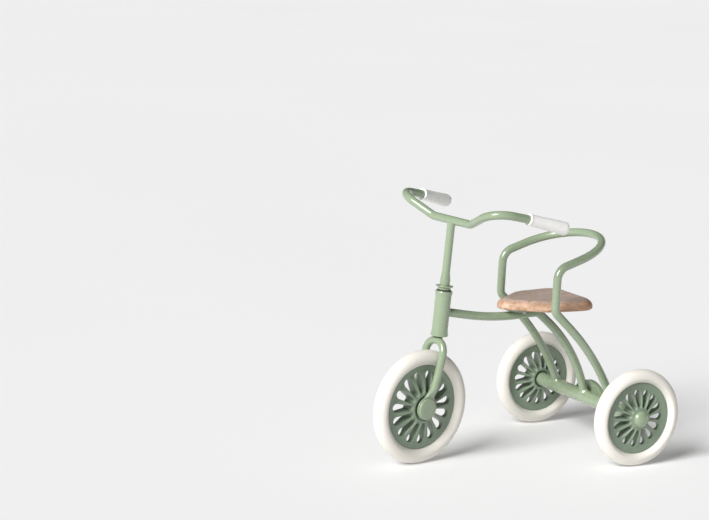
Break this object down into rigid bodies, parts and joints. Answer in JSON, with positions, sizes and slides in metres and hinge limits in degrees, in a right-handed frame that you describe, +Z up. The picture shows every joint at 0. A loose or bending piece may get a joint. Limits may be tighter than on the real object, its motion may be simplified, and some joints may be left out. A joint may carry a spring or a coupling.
{
  "type": "toy tricycle",
  "caption": "Doll-size tricycle: a bent-rod frame with a wooden seat and a hoop backrest, swept handlebar with grips, and slotted disc wheels with pale tyres.",
  "frame": {"origin": "on the ground, under the middle of the rear axle", "axes": "+X forward, +Y to the rider's left, +Z up"},
  "size_m": [0.117, 0.0801, 0.1012],
  "materials": {
    "enamel": "gloss enamel",
    "disc_green": "satin",
    "tyre_white": "matte",
    "grip_white": "gloss",
    "seat_wood": "satin lacquer",
    "bush_plastic": "satin",
    "bare_steel": "satin"
  },
  "bodies": {
    "frame": {"head_tube": "enamel", "backbone_tube": "enamel", "seat_hoop": "enamel", "axle_tube": "enamel", "tow_plate": "enamel", "seat_plate": "enamel", "seat_board": "seat_wood", "seat_screws": "bare_steel", "lower_bush": "bush_plastic", "upper_bush": "bush_plastic", "rear_axle": "bare_steel", "rear_cap_left": "enamel", "rear_cap_right": "enamel"},
    "steering": {"stem": "enamel", "collar": "enamel", "handlebar": "enamel", "grip_left": "grip_white", "grip_right": "grip_white", "fork": "enamel", "front_axle": "bare_steel", "front_cap_left": "enamel", "front_cap_right": "enamel"},
    "front_wheel": {"front_disc": "disc_green", "front_tyre": "tyre_white"},
    "rear_wheel_left": {"rear_disc_left": "disc_green", "rear_tyre_left": "tyre_white"},
    "rear_wheel_right": {"rear_disc_right": "disc_green", "rear_tyre_right": "tyre_white"}
  },
  "joints": [
    {"name": "steering_turn", "type": "hinge", "parent": "frame", "child": "steering", "pos_m": [0.0722, 0, 0], "axis": [-0.0741, 0, 0.9973], "continuous": true},
    {"name": "front_wheel_spin", "type": "hinge", "parent": "steering", "child": "front_wheel", "pos_m": [0.0764, 0.00107, 0.02199], "axis": [-0.18, 0.9836, -0.0134], "continuous": true},
    {"name": "rear_wheel_left_spin", "type": "hinge", "parent": "frame", "child": "rear_wheel_left", "pos_m": [0, 0.0348, 0.0189], "axis": [0, 1, 0], "continuous": true},
    {"name": "rear_wheel_right_spin", "type": "hinge", "parent": "frame", "child": "rear_wheel_right", "pos_m": [0, -0.0348, 0.0189], "axis": [0, 1, 0], "continuous": true}
  ]
}
